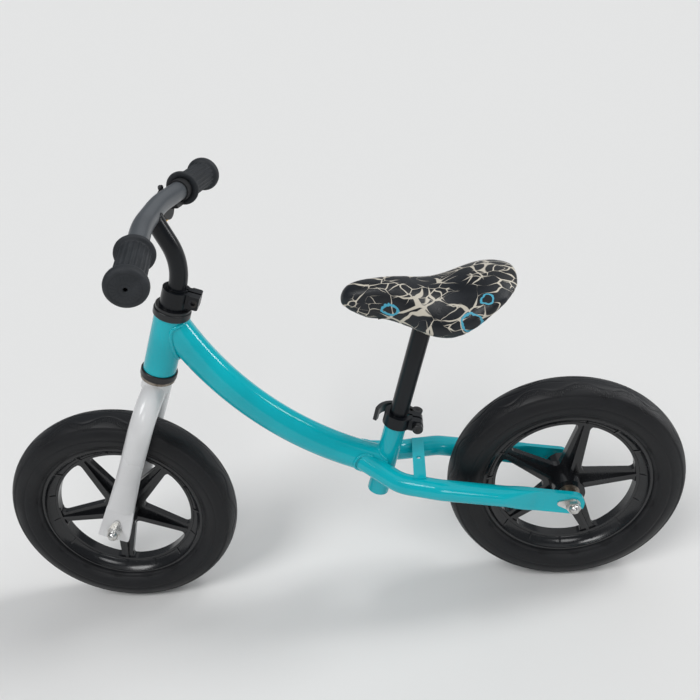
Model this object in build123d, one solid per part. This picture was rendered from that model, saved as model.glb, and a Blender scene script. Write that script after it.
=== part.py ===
from build123d import *
from math import asin, atan2, cos, degrees, radians, sin, sqrt, tan
import os

# A child's balance bike, in millimetres.
# +X is forwards, +Y is the rider's left and +Z is up.
# The origin is on the floor, midway between the two axles.

# Fits and clearances
running_gap = 0.06
sliding_gap = 0.08
seat_gap = 0.05
body_gap = 0.4

# Wheels
wheelbase = 566.0
wheel_radius = 146.0
tyre_width = 49.0
tyre_shoulder = 19.0
tyre_shoulder_drop = 7.0
tyre_bead_lip = 1.5
tyre_seat_radius = 104.0
rim_width = 31.0
rim_band_wall = 3.5
rim_key_height = 5.0
rim_key_width = 8.0
rim_floor_thickness = 5.0
rim_lip_wall = 3.5
rim_lip_ledge = 0.6
rim_lip_width = 12.0
window_radius = 86.8
window_tip_radius = 23.6
window_corner = 6.0
spoke_count = 5
spoke_rim_width = 13.7
spoke_thickness = 8.2
spine_thickness = 4.0
spine_hub_width = 28.0
spine_rim_width = 11.4
ribs_per_spoke = 3
rib_thickness = 2.2
rib_set_back = 2.5
hub_radius = 19.5
hub_width = 54.0
front_wheel_turn = 65.4
rear_wheel_turn = 33.6

# Wheel bearings, axles and axle hardware
bearing_radius = 13.0
bearing_width = 8.0
bearing_ring_wall = 2.4
bearing_shield = 0.9
bearing_sink = 0.5
axle_radius = 4.75
axle_sleeve_wall = 2.6
cone_wall = 3.6
hub_bore_gap = 2.0
tab_washer_thickness = 1.6
tab_washer_radius = 9.0
tab_tip_radius = 3.6
tab_reach = 15.0
tab_pin_radius = 1.7
tab_pin_length = 4.0
nut_across_flats = 15.0
nut_height = 6.5
nut_dome_radius = 6.2
nut_wall = 1.6

# Dropouts, shared by the fork and the stays
dropout_inner = 41.0
dropout_thickness = 6.0
dropout_slot_gap = 0.3

# Steering axis, head tube and headset
head_angle = 67.3
fork_offset = 5.5
axle_to_head_tube = 223.5
head_tube_length = 75.5
head_tube_radius = 19.5
head_tube_wall = 2.6
cup_lip_radius = 21.6
cup_lip_height = 9.0
cup_lip_round = 1.6
cup_spigot_length = 9.0
cup_spigot_wall = 2.2
cup_floor = 3.0
cup_bore = 18.9
ball_ring_height = 4.2
ball_ring_wall = 3.0
race_wall = 5.2
race_top_radius = 20.4
race_top_height = 3.2

# Fork
leg_radius = 14.3
leg_wall = 2.0
leg_flat_start = 92.0
leg_crease = 34.0
leg_crease_half_width = 16.8
leg_crease_half_depth = 6.4
leg_plate_foot = 13.0
leg_plate_foot_width = 39.0
leg_plate_corner = 2.5
steerer_radius = 12.7
steerer_top_reach = 2.0
steerer_slot_width = 2.4
steerer_slot_length = 30.0

# Handlebar stem and its clamp
stem_radius = 10.4
stem_wall = 1.8
stem_insertion = 62.0
stem_straight = 1.0
stem_bend_radius = 72.0
stem_bend_angle = 43.0
stem_reach = 35.4
stem_collar_wall = 3.5
stem_collar_height = 22.0
stem_ear_reach = 12.0
stem_ear_height = 16.0
stem_ear_width = 23.0
stem_ear_slit = 3.0
stem_ear_corner = 3.0
stem_neck_width = 19.4
clamp_bolt_radius = 3.0
clamp_bolt_head_radius = 5.0
clamp_bolt_head_height = 5.0
clamp_bolt_key_width = 5.0
clamp_nut_across_flats = 10.0
clamp_nut_height = 5.0

# Handlebar and grips
bar_radius = 11.1
bar_wall = 1.6
bar_half_flat = 34.0
bar_arm_length = 135.0
bar_sweep = 9.8
bar_tilt = -1.2
bar_bend_radius = 200.0
grip_length = 71.0
grip_wall = 4.0
grip_rib_count = 18
grip_rib_height = 0.8
grip_rib_width = 2.2
grip_flange_radius = 20.2
grip_flange_width = 5.0
grip_end_radius = 20.8
grip_end_width = 9.0
grip_end_dome = 3.0
grip_end_hole_radius = 2.0
grip_end_skin = 3.0

# Bell
bell_inset = 6.0
bell_band_wall = 2.0
bell_band_width = 10.0
bell_forward = 16.4
bell_drop = 15.0
bell_inboard = 14.0
bell_base_radius = 16.0
bell_base_thickness = 2.6
bell_arm_thickness = 6.0
bell_radius = 18.0
bell_depth = 15.0
bell_wall = 1.2
bell_post_radius = 4.0
bell_screw_radius = 1.8
bell_screw_head_radius = 3.6
bell_screw_head_height = 2.2
bell_screw_round = 1.3
bell_skirt_gap = 2.2
bell_arm_gap = 1.4
bell_pivot_out = 24.0
bell_pivot_angle = 30.0
striker_pin_radius = 1.5
striker_pin_length = 6.4
striker_pin_head_radius = 3.0
striker_arm_width = 4.0
striker_arm_thickness = 1.4
striker_knob_radius = 3.4
striker_knob_height = 4.5
striker_knob_round = 1.6
striker_gap = 0.8

# Main tube
main_radius = 18.5
main_wall = 1.8
main_bend_radius = 387.5
main_head_joint = 68.5
main_seat_joint = 44.0

# Seat tube and post
seat_angle = 72.5
seat_foot_forward = 233.6
seat_foot_height = 150.0
seat_tube_length = 117.0
post_radius = 11.1
seat_tube_wall = 2.2
seat_tube_slot_width = 2.4
seat_tube_slot_length = 26.0
post_wall = 1.8
post_insertion = 62.0
post_exposed = 126.0

# Stays and their bridge
stay_radius = 12.7
stay_wall = 1.8
stay_root_ahead = 30.0
stay_root_out = 9.0
stay_knee_forward = 203.0
stay_knee_height = 182.0
stay_knee_out = 33.0
stay_bend_forward = 155.0
stay_rise = 11.4
stay_bend_radius = 55.0
stay_flat_start = 84.0
stay_crease = 44.0
stay_crease_half_height = 14.6
stay_crease_half_depth = 3.4
stay_plate_height = 29.0
stay_plate_tail = 14.0
stay_tail_round = 13.0
rear_slot_direction = 225.0
bridge_width = 15.0
bridge_length = 80.0
bridge_thickness = 3.0
bridge_lift = 13.2
bridge_hole_radius = 2.75

# Quick-release seat clamp
seat_collar_wall = 3.6
seat_collar_height = 14.0
seat_collar_lip = 1.6
seat_lug_width = 9.0
seat_lug_slit = 3.0
skewer_radius = 2.6
skewer_back = 24.5
knob_radius = 6.4
knob_width = 7.0
knob_round = 1.4
cam_pin_radius = 2.6
cam_radius = 6.5
cam_gap = 0.5
lever_radius = 25.5
lever_thickness = 4.6
lever_height = 12.0
lever_from_angle = 228.0
lever_to_angle = 335.0
lever_tip_length = 7.0
lever_tip_drop = 6.0

# Saddle: its cushion runs over stations from the nose back to the tail
pad_side_draw = 0.84
pad_shoulder = 0.84
pad_crown = 0.24
pad_waist = 0.45
pan_thickness = 3.0
pan_edge = 0.6
plug_length = 24.0
cross_pin_radius = 2.2
cross_pin_from_top = 1.0
seat_pad_rise = 21.2
seat_pad_forward = 4.0
# Each station: forward of the post's top, half width, underside height, crown height
pad_stations = (
    (87.0, 9.0, 14.0, 27.0),
    (76.0, 17.0, 9.0, 37.0),
    (46.0, 23.5, -1.0, 38.0),
    (8.0, 36.0, -11.0, 30.0),
    (-30.0, 57.0, -19.0, 28.0),
    (-60.0, 64.0, -4.0, 38.0),
    (-87.0, 55.0, 17.0, 44.0),
    (-103.0, 37.0, 28.0, 43.0),
    (-110.0, 20.0, 32.0, 39.0),
)

os.makedirs("parts", exist_ok=True)


# Shared frames and helpers
def lean(angle):
    return Vector(-cos(radians(angle)), 0, sin(radians(angle)))


def ahead(angle):
    return Vector(sin(radians(angle)), 0, cos(radians(angle)))


def rod(radius, low, high):
    return Pos(0, 0, low) * extrude(Circle(radius), high - low)


def ring(outer, inner, low, high):
    return rod(outer, low, high) - rod(inner, low, high)


def block(size_x, size_y, low, high):
    return Pos(0, 0, low) * extrude(Rectangle(size_x, size_y), high - low)


def prism_across(outline, low, high):
    # A flat outline drawn forwards and upwards, thickened from one height on Y to another
    return Pos(0, high, 0) * extrude(Plane.XZ * outline, high - low)


def along(path, radius):
    start = Plane(origin=path @ 0, z_dir=path % 0)
    return sweep(start * Circle(radius), path=path)


def both_sides(left):
    return left + mirror(left, about=Plane.XZ)


def polar(radius, angle):
    return (radius * cos(radians(angle)), radius * sin(radians(angle)))


def save(name, shape):
    export_step(shape, f"parts/{name}.step")


front_axle = Vector(wheelbase / 2, 0, wheel_radius)
rear_axle = Vector(-wheelbase / 2, 0, wheel_radius)
steer_up = lean(head_angle)
steer_ahead = ahead(head_angle)
steer = Plane(origin=front_axle - steer_ahead * fork_offset, x_dir=steer_ahead, z_dir=steer_up)
seat_up = lean(seat_angle)
seat_foot = Vector(rear_axle.X + seat_foot_forward, 0, seat_foot_height)
seat = Plane(origin=seat_foot, x_dir=ahead(seat_angle), z_dir=seat_up)
across = Rot(X=-90)

dropout_outer = dropout_inner + dropout_thickness
dropout_mid = dropout_inner + dropout_thickness / 2
washer_face = dropout_outer + tab_washer_thickness
slot_half = axle_radius + dropout_slot_gap


# Wheels: built about Z with the axle at the origin, then turned to lie across the bike
def tyre():
    half = tyre_width / 2
    bead = rim_width / 2 + tyre_bead_lip
    crown = wheel_radius - tyre_shoulder_drop
    waist = (tyre_seat_radius + crown) / 2
    outline = Polyline((tyre_seat_radius, -bead), (tyre_seat_radius, bead))
    outline += ThreePointArc((tyre_seat_radius, bead), (waist, half), (crown, tyre_shoulder))
    outline += ThreePointArc((crown, tyre_shoulder), (wheel_radius, 0), (crown, -tyre_shoulder))
    outline += ThreePointArc((crown, -tyre_shoulder), (waist, -half), (tyre_seat_radius, -bead))
    body = revolve(Plane.XZ * make_face(outline), Axis.Z)
    return body - rim_key()


def rim_key():
    root = tyre_seat_radius - rim_band_wall / 2
    return ring(tyre_seat_radius + rim_key_height, root, -rim_key_width / 2, rim_key_width / 2)


def spoke_window():
    # Rounded triangle between two spokes, centred on the local X axis
    half_step = 180 / spoke_count
    spoke_edge = degrees(asin(spoke_rim_width / 2 / window_radius))
    corner = polar(window_radius, half_step - spoke_edge)
    mirrored = polar(window_radius, spoke_edge - half_step)
    tip = (window_tip_radius, 0)
    outline = Polyline(mirrored, tip, corner)
    outline += ThreePointArc(corner, (window_radius, 0), mirrored)
    face = make_face(outline)
    return fillet(face.vertices(), window_corner)


def radial_plate(low, low_width, high, high_width, thickness):
    # Thin plate in a plane through the axle, whose width changes evenly along the radius
    outline = Polygon(
        (low, -low_width / 2),
        (high, -high_width / 2),
        (high, high_width / 2),
        (low, low_width / 2),
        align=None,
    )
    return Pos(0, thickness / 2, 0) * extrude(Plane.XZ * outline, thickness)


def rim():
    half_floor = rim_floor_thickness / 2
    band_inner = tyre_seat_radius - rim_band_wall
    lip_outer = window_radius + rim_lip_wall
    body = ring(tyre_seat_radius, band_inner, -rim_width / 2, rim_width / 2) + rim_key()
    body += ring(lip_outer, window_radius - rim_lip_ledge, -rim_lip_width / 2, rim_lip_width / 2)
    rib_low = lip_outer - rim_lip_wall / 2
    rib_high = band_inner + rim_band_wall / 2
    body += ring(rib_high, rib_low, -half_floor, half_floor)
    body += rod(window_radius, -spoke_thickness / 2, spoke_thickness / 2)
    half_step = 180 / spoke_count
    window = Pos(0, 0, -rim_width) * extrude(spoke_window(), 2 * rim_width)
    for i in range(spoke_count):
        body -= Rot(Z=half_step + 2 * half_step * i) * window

    # Spoke spines taper from the hub to the rim, and ribs bridge the rim's two channels
    spine_end = window_radius + rim_lip_wall / 2
    spine = radial_plate(hub_radius / 2, spine_hub_width, spine_end, spine_rim_width, spine_thickness)
    for i in range(spoke_count):
        body += Rot(Z=2 * half_step * i) * spine
    rib_foot = rim_lip_width - rim_lip_ledge
    rib = radial_plate(rib_low, rib_foot, rib_high, rim_width - 2 * rib_set_back, rib_thickness)
    rib_count = spoke_count * ribs_per_spoke
    for i in range(rib_count):
        body += Rot(Z=360 * i / rib_count) * rib

    body += rod(hub_radius, -hub_width / 2, hub_width / 2)
    sleeve_radius = axle_radius + axle_sleeve_wall
    body -= rod(sleeve_radius + hub_bore_gap, -hub_width, hub_width)
    pocket = hub_width / 2 - bearing_sink - bearing_width
    for low, high in ((pocket, hub_width), (-hub_width, -pocket)):
        body -= rod(bearing_radius, low, high)
    return body


def bearing_outers():
    # Outer ring with a shield on each face, at both ends of the hub
    low = hub_width / 2 - bearing_sink - bearing_width
    high = low + bearing_width
    inner_ring = axle_radius + bearing_ring_wall
    one = ring(bearing_radius, bearing_radius - bearing_ring_wall, low, high)
    for shield_low in (low, high - bearing_shield):
        one += ring(bearing_radius, inner_ring + body_gap, shield_low, shield_low + bearing_shield)
    return one + mirror(one, about=Plane.XY)


def bearing_inners():
    low = hub_width / 2 - bearing_sink - bearing_width
    one = ring(axle_radius + bearing_ring_wall, axle_radius + seat_gap, low, low + bearing_width)
    return one + mirror(one, about=Plane.XY)


def axle_sleeve():
    low = hub_width / 2 - bearing_sink - bearing_width
    return ring(axle_radius + axle_sleeve_wall, axle_radius + seat_gap, -low, low)


def axle_cones():
    low = hub_width / 2 - bearing_sink
    one = ring(axle_radius + cone_wall, axle_radius + seat_gap, low, dropout_inner)
    return one + mirror(one, about=Plane.XY)


def axle():
    return rod(axle_radius, -washer_face - nut_height, washer_face + nut_height)


def axle_nuts():
    hexagon = RegularPolygon(nut_across_flats / 2, 6, major_radius=False)
    body = Pos(0, 0, washer_face) * extrude(hexagon, nut_height)
    dome = Pos(0, 0, washer_face + nut_height) * Sphere(nut_dome_radius)
    dome &= rod(nut_dome_radius, washer_face + nut_height, washer_face + nut_height + nut_dome_radius)
    one = body + dome - rod(axle_radius + seat_gap, washer_face, washer_face + nut_height + nut_wall)
    return one + mirror(one, about=Plane.XY)


def tab_washers(direction):
    # Pear-shaped washer whose pin hooks into a hole of the dropout
    outline = make_hull((Circle(tab_washer_radius) + Pos(tab_reach, 0) * Circle(tab_tip_radius)).edges())
    one = Pos(0, 0, dropout_outer) * extrude(outline, tab_washer_thickness)
    one -= rod(axle_radius + seat_gap, dropout_outer, washer_face)
    one += Pos(tab_reach, 0, 0) * rod(tab_pin_radius, dropout_outer - tab_pin_length, dropout_outer)
    pair = one + mirror(one, about=Plane.XY)
    return Rot(Z=direction) * pair


def dropout_cut(direction, slot_direction):
    # Axle slot with an open mouth, and the hole for the washer's pin
    mouth = Pos(wheel_radius / 2, 0, 0) * Box(wheel_radius, 2 * slot_half, 4 * dropout_outer)
    cut = Rot(Z=slot_direction) * mouth + rod(slot_half, -2 * dropout_outer, 2 * dropout_outer)
    pin_hole = rod(tab_pin_radius + seat_gap, -2 * dropout_outer, 2 * dropout_outer)
    return cut + Rot(Z=direction) * Pos(tab_reach, 0, 0) * pin_hole


def save_wheel(end, centre, turn, tab_direction):
    place = Pos(centre) * across
    # In the wheel's own view, Z turned to lie along Y leaves local Y pointing down
    wheel = place * Rot(Z=-turn)
    save(f"{end}_tyre", wheel * tyre())
    save(f"{end}_rim", wheel * rim())
    save(f"{end}_bearing_outers", wheel * bearing_outers())
    save(f"{end}_bearing_inners", place * bearing_inners())
    save(f"{end}_axle_sleeve", place * axle_sleeve())
    save(f"{end}_axle_cones", place * axle_cones())
    save(f"{end}_axle", place * axle())
    save(f"{end}_axle_nuts", place * axle_nuts())
    save(f"{end}_tab_washers", place * tab_washers(-tab_direction))


# Head tube, main tube and seat tube
seat_tube_radius = post_radius + sliding_gap + seat_tube_wall
head_low = axle_to_head_tube
head_high = axle_to_head_tube + head_tube_length
head_bore = head_tube_radius - head_tube_wall
head_joint = steer.from_local_coords(Vector(0, 0, head_low + main_head_joint))
seat_joint = seat.from_local_coords(Vector(0, 0, main_seat_joint))
head_cutter = steer * rod(head_tube_radius, head_low - head_tube_length, head_high + head_tube_length)
seat_cutter = seat * rod(seat_tube_radius, -seat_tube_length, 2 * seat_tube_length)


def sagging_arc(start, end, radius):
    # Arc in the bike's middle plane that hangs below the straight line between its ends
    chord = end - start
    sag = radius - sqrt(radius**2 - (chord.length / 2) ** 2)
    below = Vector(chord.Z, 0, -chord.X).normalized()
    return ThreePointArc(start, start + chord * 0.5 + below * sag, end)


main_path = sagging_arc(seat_joint, head_joint, main_bend_radius)
main_solid = along(main_path, main_radius)
main_tube = main_solid - along(main_path, main_radius - main_wall) - head_cutter - seat_cutter
save("main_tube", main_tube)
save("head_tube", steer * ring(head_tube_radius, head_bore, head_low, head_high))

seat_tube = ring(seat_tube_radius, post_radius + sliding_gap, 0, seat_tube_length)
tube_slot = Pos(-seat_tube_radius, 0, seat_tube_length - seat_tube_slot_length / 2)
seat_tube -= tube_slot * Box(2 * post_radius, seat_tube_slot_width, seat_tube_slot_length)
save("seat_tube", seat * seat_tube)

# Stays: round tubes from the main tube's end, past the seat tube, to flattened dropouts
stay_along = Vector(cos(radians(stay_rise)), 0, sin(radians(stay_rise)))
stay_line = Vector(rear_axle.X, dropout_mid, rear_axle.Z)
stay_bend = stay_line + stay_along * (stay_bend_forward / stay_along.X)
stay_knee = Vector(rear_axle.X + stay_knee_forward, stay_knee_out, stay_knee_height)
stay_root = main_path.position_at(stay_root_ahead, position_mode=PositionMode.LENGTH)
stay_root += Vector(0, stay_root_out, 0)
stay_start = stay_line + stay_along * stay_flat_start
stay_path = FilletPolyline(stay_start, stay_bend, stay_knee, stay_root, radius=stay_bend_radius)
stay_solid = along(stay_path, stay_radius)


def rear_dropout_frame(distance):
    return Plane(origin=stay_line + stay_along * distance, x_dir=(0, 1, 0), z_dir=stay_along)


def left_stay():
    body = stay_solid - along(stay_path, stay_radius - stay_wall)
    body = body - main_solid - seat_cutter
    crease = Ellipse(stay_crease_half_depth, stay_crease_half_height)
    round_end = rear_dropout_frame(stay_flat_start) * Circle(stay_radius)
    body += loft([round_end, rear_dropout_frame(stay_crease) * crease])
    overlap = dropout_thickness / 2
    length = stay_crease + overlap + stay_plate_tail
    plate = Pos(stay_crease + overlap - length / 2, 0) * Rectangle(length, stay_plate_height)
    tail_corners = plate.vertices().sort_by(Axis.X)[:2]
    plate = fillet(tail_corners, stay_tail_round)
    outer_face = Plane(
        origin=rear_axle + Vector(0, dropout_outer, 0), x_dir=stay_along, z_dir=(0, -1, 0)
    )
    body += outer_face * extrude(plate, dropout_thickness)
    cut = dropout_cut(-stay_rise, -stay_rise - rear_slot_direction)
    return body - Pos(rear_axle) * across * cut


left = left_stay()
save("left_stay", left)
save("right_stay", mirror(left, about=Plane.XZ))

bridge_middle = (stay_bend + stay_knee) * 0.5
bridge = Box(bridge_width, bridge_length, bridge_thickness)
bridge -= Cylinder(bridge_hole_radius, 2 * bridge_thickness)
bridge = Pos(bridge_middle.X, 0, bridge_middle.Z + bridge_lift) * bridge
bridge -= both_sides(stay_solid)
save("stay_bridge", bridge)


# Headset: cups pressed into the head tube, ball rings, and races that turn with the fork
def cup():
    # Upper cup, with the head tube's end face at zero
    lip = rod(cup_lip_radius, 0, cup_lip_height)
    lip = fillet(lip.edges().filter_by(GeomType.CIRCLE), cup_lip_round)
    body = lip + rod(head_bore, -cup_spigot_length, 0)
    body -= rod(head_bore - cup_spigot_wall, -cup_spigot_length, cup_floor)
    return body - rod(cup_bore, cup_floor, cup_lip_height)


def ball_ring():
    low = cup_floor
    return ring(cup_bore - seat_gap, cup_bore - ball_ring_wall, low, low + ball_ring_height)


def race():
    # Cone inside the ball ring, with a cover that rides just clear of the cup
    cover = cup_lip_height + body_gap
    body = ring(steerer_radius + race_wall / 2, steerer_radius + seat_gap, cup_floor + body_gap, cover)
    return body + ring(race_top_radius, steerer_radius + seat_gap, cover, cover + race_top_height)


upper = steer * Pos(0, 0, head_high)
lower = steer * Pos(0, 0, head_low) * Rot(X=180)
for name, place in (("upper", upper), ("lower", lower)):
    save(f"{name}_cup", place * cup())
    save(f"{name}_ball_ring", place * ball_ring())
    save(f"{name}_race", place * race())

race_height = cup_lip_height + body_gap + race_top_height
crown_top = head_low - race_height
collar_low = head_high + race_height
steerer_top = collar_low + stem_collar_height + steerer_top_reach

# Fork: two legs bent into a hoop under the head tube, with flattened dropouts
crown_height = crown_top - leg_radius
crown = steer.from_local_coords(Vector(0, 0, crown_height))
leg_up = (crown - front_axle).normalized()
leg_ahead = Vector(leg_up.Z, 0, -leg_up.X)
leg_length = (crown - front_axle).length
leg = Plane(origin=front_axle, x_dir=leg_ahead, z_dir=leg_up)
leg_direction = degrees(atan2(leg_up.Z, leg_up.X))


def leg_path():
    bend = dropout_mid
    straight = Line((0, bend, leg_flat_start), (0, bend, leg_length - bend))
    half_turn = bend * cos(radians(45))
    arc = ThreePointArc(
        (0, bend, leg_length - bend), (0, half_turn, leg_length - bend + half_turn), (0, 0, leg_length)
    )
    return Wire([*straight.edges(), *arc.edges()])


def left_leg():
    path = leg_path()
    body = along(path, leg_radius) - along(path, leg_radius - leg_wall)
    crease = Ellipse(leg_crease_half_width, leg_crease_half_depth)
    round_end = Pos(0, dropout_mid, leg_flat_start) * Circle(leg_radius)
    body += loft([round_end, Pos(0, dropout_mid, leg_crease) * crease])
    top = leg_crease + dropout_thickness / 2
    plate = Polygon(
        (-leg_crease_half_width, top),
        (-leg_plate_foot_width / 2, -leg_plate_foot),
        (leg_plate_foot_width / 2, -leg_plate_foot),
        (leg_crease_half_width, top),
        align=None,
    )
    plate = fillet(plate.vertices().sort_by(Axis.Y)[:2], leg_plate_corner)
    body += prism_across(plate, dropout_inner, dropout_outer)
    cut = dropout_cut(-leg_direction, 180 - leg_direction)
    return leg * body - Pos(front_axle) * across * cut


left = left_leg()
save("left_fork_leg", left)
save("right_fork_leg", mirror(left, about=Plane.XZ))

leg_hoop = both_sides(leg * along(leg_path(), leg_radius))
steerer_bore = stem_radius + sliding_gap
steerer = ring(steerer_radius, steerer_bore, crown_height, steerer_top)
steerer_slot = Pos(-steerer_radius, 0, steerer_top - steerer_slot_length / 2)
steerer -= steerer_slot * Box(2 * stem_radius, steerer_slot_width, steerer_slot_length)
save("steerer", steer * steerer - leg_hoop)
crown_seat = ring(steerer_radius + race_wall, steerer_radius + seat_gap, crown_height, crown_top)
save("crown_seat", steer * crown_seat - leg_hoop)


# Handlebar clamp: a split collar on the steerer with a bolt across its ears
def stem_collar():
    outer = steerer_radius + stem_collar_wall
    body = rod(outer, 0, stem_collar_height)
    ears = Pos(-outer - stem_ear_reach / 2, 0) * Rectangle(stem_ear_reach, stem_ear_width)
    ears = fillet(ears.vertices().sort_by(Axis.X)[:2], stem_ear_corner)
    ear_low = stem_collar_height - stem_ear_height
    body += Pos(0, 0, ear_low) * extrude(ears, stem_ear_height)
    neck = Pos(-outer / 2, 0) * Rectangle(outer, stem_neck_width)
    body += Pos(0, 0, ear_low) * extrude(neck, stem_ear_height)
    body -= rod(steerer_radius + seat_gap, 0, stem_collar_height)
    slit = Pos(-outer - stem_ear_reach / 2, 0, stem_collar_height / 2)
    body -= slit * Box(2 * outer + stem_ear_reach, stem_ear_slit, 2 * stem_collar_height)
    return body


def clamp_bolt_parts():
    # Socket-head bolt from the left ear into a hexagon nut let into the right ear
    half = stem_ear_width / 2
    bolt_head_low = half - clamp_bolt_head_height
    nut_high = clamp_nut_height - half
    shank = rod(clamp_bolt_radius, nut_high - clamp_nut_height, bolt_head_low)
    key = RegularPolygon(clamp_bolt_key_width / 2, 6, major_radius=False)
    head = rod(clamp_bolt_head_radius, bolt_head_low, half)
    head -= Pos(0, 0, half - clamp_bolt_head_height / 2) * extrude(key, clamp_bolt_head_height)
    flats = RegularPolygon(clamp_nut_across_flats / 2, 6, major_radius=False)
    nut = Pos(0, 0, -half) * extrude(flats, clamp_nut_height)
    nut -= rod(clamp_bolt_radius + seat_gap, -half, nut_high)
    holes = rod(clamp_bolt_radius + seat_gap, -half, half)
    holes += rod(clamp_bolt_head_radius + seat_gap, bolt_head_low, half)
    pocket = RegularPolygon(clamp_nut_across_flats / 2 + seat_gap, 6, major_radius=False)
    holes += Pos(0, 0, -half) * extrude(pocket, clamp_nut_height)
    return shank + head, nut, holes


clamp_bolt_back = steerer_radius + stem_collar_wall + stem_ear_reach / 2
collar_place = steer * Pos(0, 0, collar_low)
bolt_height = stem_collar_height - stem_ear_height / 2
bolt_place = collar_place * Pos(-clamp_bolt_back, 0, bolt_height) * across
clamp_bolt, clamp_nut, clamp_holes = clamp_bolt_parts()
save("stem_collar", collar_place * stem_collar() - bolt_place * clamp_holes)
save("stem_clamp_bolt", bolt_place * clamp_bolt)
save("stem_clamp_nut", bolt_place * clamp_nut)

# Stem and handlebar, drawn in the steering frame
stem_bend_low = steerer_top + stem_straight
stem_tangent = stem_bend_radius * tan(radians(stem_bend_angle / 2))
stem_corner = Vector(0, 0, stem_bend_low + stem_tangent)
stem_lean = Vector(sin(radians(stem_bend_angle)), 0, cos(radians(stem_bend_angle)))
bar_centre = stem_corner + stem_lean * (stem_tangent + stem_reach)
stem_foot = Vector(0, 0, steerer_top - stem_insertion)
stem_path = FilletPolyline(stem_foot, stem_corner, bar_centre, radius=stem_bend_radius)

bar_back = Vector(-cos(radians(bar_tilt)), 0, -sin(radians(bar_tilt)))
bar_arm = Vector(0, cos(radians(bar_sweep)), 0) + bar_back * sin(radians(bar_sweep))
bar_arm_right = Vector(bar_arm.X, -bar_arm.Y, bar_arm.Z)
left_bend = bar_centre + Vector(0, bar_half_flat, 0)
right_bend = bar_centre - Vector(0, bar_half_flat, 0)
left_tip = left_bend + bar_arm * bar_arm_length
right_tip = right_bend + bar_arm_right * bar_arm_length
bar_path = FilletPolyline(right_tip, right_bend, left_bend, left_tip, radius=bar_bend_radius)
bar_solid = along(bar_path, bar_radius)
stem = along(stem_path, stem_radius) - along(stem_path, stem_radius - stem_wall) - bar_solid
save("stem", steer * stem)
save("handlebar", steer * (bar_solid - along(bar_path, bar_radius - bar_wall)))


def grip():
    # Rubber sleeve with two flanges and lengthwise ribs; the bar's tip is at zero
    inner = bar_radius + seat_gap
    outer = bar_radius + grip_wall
    flange_end = grip_flange_width - grip_length
    end_start = grip_end_skin - grip_end_width
    body = rod(outer, -grip_length, grip_end_skin)
    body += rod(grip_flange_radius, -grip_length, flange_end)
    end = rod(grip_end_radius, end_start, grip_end_skin)
    body += fillet(end.edges().filter_by(GeomType.CIRCLE), grip_end_dome)
    rib = block(2 * grip_rib_height, grip_rib_width, flange_end, end_start)
    for i in range(grip_rib_count):
        body += Rot(Z=360 * i / grip_rib_count) * Pos(outer, 0, 0) * rib
    body -= rod(inner, -grip_length, 0)
    return body - rod(grip_end_hole_radius, 0, grip_end_skin)


left_grip_place = Plane(origin=left_tip, x_dir=(0, 0, 1), z_dir=bar_arm)
left = steer * left_grip_place * grip()
save("left_grip", left)
save("right_grip", mirror(left, about=Plane.XZ))

# Bell on the right arm of the bar: it hangs ahead of and below the bar
bell_distance = bar_arm_length - grip_length - bell_inset
bell_point = steer.from_local_coords(right_bend + bar_arm_right * bell_distance)
bell_out = steer.from_local_coords(right_tip) - bell_point
bell_out = bell_out.normalized()
bell_ahead = Vector(1, 0, 0) - bell_out * bell_out.X
bell_bar = Plane(origin=bell_point, x_dir=bell_ahead, z_dir=bell_out)
mouth = bell_bar.from_local_coords(Vector(bell_forward, -bell_drop, -bell_inboard))
bell_face = Plane(origin=mouth, x_dir=bell_out * -1, z_dir=bell_bar.x_dir)
striker_pivot = polar(bell_pivot_out, bell_pivot_angle)
striker_reach = bell_radius + striker_gap + striker_knob_radius


def bell_bracket():
    # Band round the bar, an arm below it, and a round base behind the dome
    band_radius = bar_radius + bell_band_wall
    band = ring(band_radius, bar_radius + seat_gap, -bell_band_width / 2, bell_band_width / 2)
    base_back = bell_forward - bell_skirt_gap - bell_base_thickness
    arm_width = bell_base_thickness + base_back
    arm_low = -bell_inboard
    arm = Pos(arm_width / 2, -bar_radius - bell_arm_gap - bell_arm_thickness / 2, 0)
    arm *= block(arm_width, bell_arm_thickness, arm_low, bell_band_width / 2)
    base = rod(bell_base_radius, -bell_skirt_gap - bell_base_thickness, -bell_skirt_gap)
    inner_depth = bell_depth - bell_wall
    ball = ((bell_radius - bell_wall) ** 2 + inner_depth**2) / (2 * inner_depth)
    post_sink = ball - sqrt(ball**2 - bell_post_radius**2)
    base += rod(bell_post_radius, -bell_skirt_gap, inner_depth - post_sink)
    ear = make_hull((Circle(bell_post_radius) + Pos(striker_pivot) * Circle(bell_post_radius)).edges())
    base += Pos(0, 0, -bell_skirt_gap - bell_base_thickness) * extrude(ear, bell_base_thickness)
    base -= rod(bell_screw_radius + seat_gap, -bell_skirt_gap, bell_depth)
    base -= Pos(striker_pivot) * rod(striker_pin_radius + seat_gap, -bell_depth, 0)
    return bell_bar * (band + arm) + bell_face * base


def bell_dome():
    # Thin brass cup with its mouth at zero
    def cap(radius, depth):
        ball = (radius**2 + depth**2) / (2 * depth)
        half_way = atan2(radius, depth - ball) / 2
        middle = (ball * sin(half_way), depth - ball + ball * cos(half_way))
        outline = ThreePointArc((0, depth), middle, (radius, 0)) + Polyline((radius, 0), (0, 0), (0, depth))
        return revolve(Plane.XZ * make_face(outline), Axis.Z)

    dome = cap(bell_radius, bell_depth) - cap(bell_radius - bell_wall, bell_depth - bell_wall)
    return dome - rod(bell_screw_radius + seat_gap, 0, 2 * bell_depth)


def bell_screw():
    shank = rod(bell_screw_radius, 0, bell_depth)
    head = rod(bell_screw_head_radius, bell_depth, bell_depth + bell_screw_head_height)
    return shank + fillet(head.edges().group_by(Axis.Z)[-1], bell_screw_round)


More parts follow.
